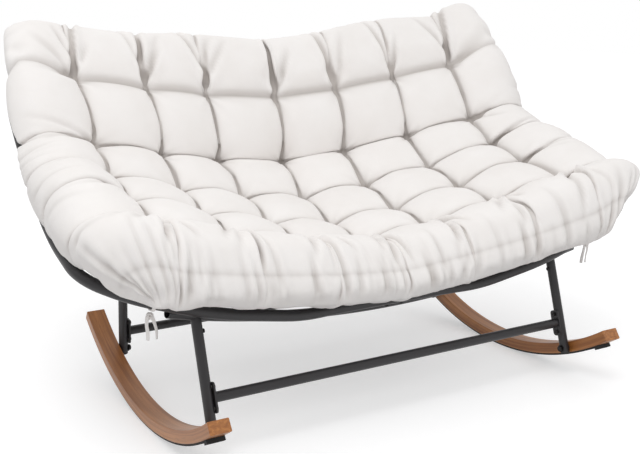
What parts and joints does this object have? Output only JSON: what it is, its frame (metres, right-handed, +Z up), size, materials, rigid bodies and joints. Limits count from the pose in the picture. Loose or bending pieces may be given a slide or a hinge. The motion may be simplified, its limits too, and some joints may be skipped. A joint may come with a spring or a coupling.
{
  "type": "double papasan rocking chair",
  "caption": "Wide two-seat rocking chair: tufted bowl cushion tied into a bent black tube frame on legs, stretchers and curved wood rockers.",
  "frame": {"origin": "on the floor, midway between the points where the two rockers touch it", "axes": "+Z up, +X along the seat's width, front of the chair towards -Y"},
  "size_m": [1.4414, 0.8858, 0.8822],
  "materials": {
    "frame_black": "satin powder coat",
    "hardware_black": "black zinc",
    "hidden_steel": "plain",
    "rocker_wood": "satin lacquer",
    "tread_rubber": "matt",
    "cap_plastic": "matt",
    "cushion_fabric": "soft brushed weave",
    "tie_fabric": "sewn cotton tape"
  },
  "bodies": {
    "root": {"rim_left": "frame_black", "rim_right": "frame_black", "seat_bar_front": "frame_black", "seat_bar_rear": "frame_black", "seat_rib_1": "frame_black", "seat_rib_2": "frame_black", "seat_rib_3": "frame_black", "seat_rib_4": "frame_black", "seat_rib_5": "frame_black", "seat_rib_6": "frame_black", "leg_front_left": "frame_black", "leg_front_right": "frame_black", "leg_rear_left": "frame_black", "leg_rear_right": "frame_black", "stretcher_front": "frame_black", "stretcher_rear": "frame_black", "stretcher_flange_front_left": "frame_black", "stretcher_flange_front_right": "frame_black", "stretcher_flange_rear_left": "frame_black", "stretcher_flange_rear_right": "frame_black", "leg_bolts": "hardware_black", "leg_washers": "hardware_black", "flange_bolts": "hardware_black", "leg_spigot_screws": "hardware_black", "rim_joint_screws": "hardware_black", "rim_sleeves": "hidden_steel", "leg_spigots": "hidden_steel", "wood_inserts": "hidden_steel", "rivet_nuts": "hidden_steel", "rocker_left": "rocker_wood", "rocker_right": "rocker_wood", "tread_left": "tread_rubber", "tread_right": "tread_rubber", "stop_left": "tread_rubber", "stop_right": "tread_rubber", "leg_caps": "cap_plastic", "cushion": "cushion_fabric", "tie_loop_front_left": "tie_fabric", "tie_knot_front_left": "tie_fabric", "tie_tail_outer_front_left": "tie_fabric", "tie_tail_inner_front_left": "tie_fabric", "tie_loop_front_right": "tie_fabric", "tie_knot_front_right": "tie_fabric", "tie_tail_outer_front_right": "tie_fabric", "tie_tail_inner_front_right": "tie_fabric", "tie_loop_back_left": "tie_fabric", "tie_knot_back_left": "tie_fabric", "tie_tail_outer_back_left": "tie_fabric", "tie_tail_inner_back_left": "tie_fabric", "tie_loop_back_right": "tie_fabric", "tie_knot_back_right": "tie_fabric", "tie_tail_outer_back_right": "tie_fabric", "tie_tail_inner_back_right": "tie_fabric"}
  },
  "joints": []
}
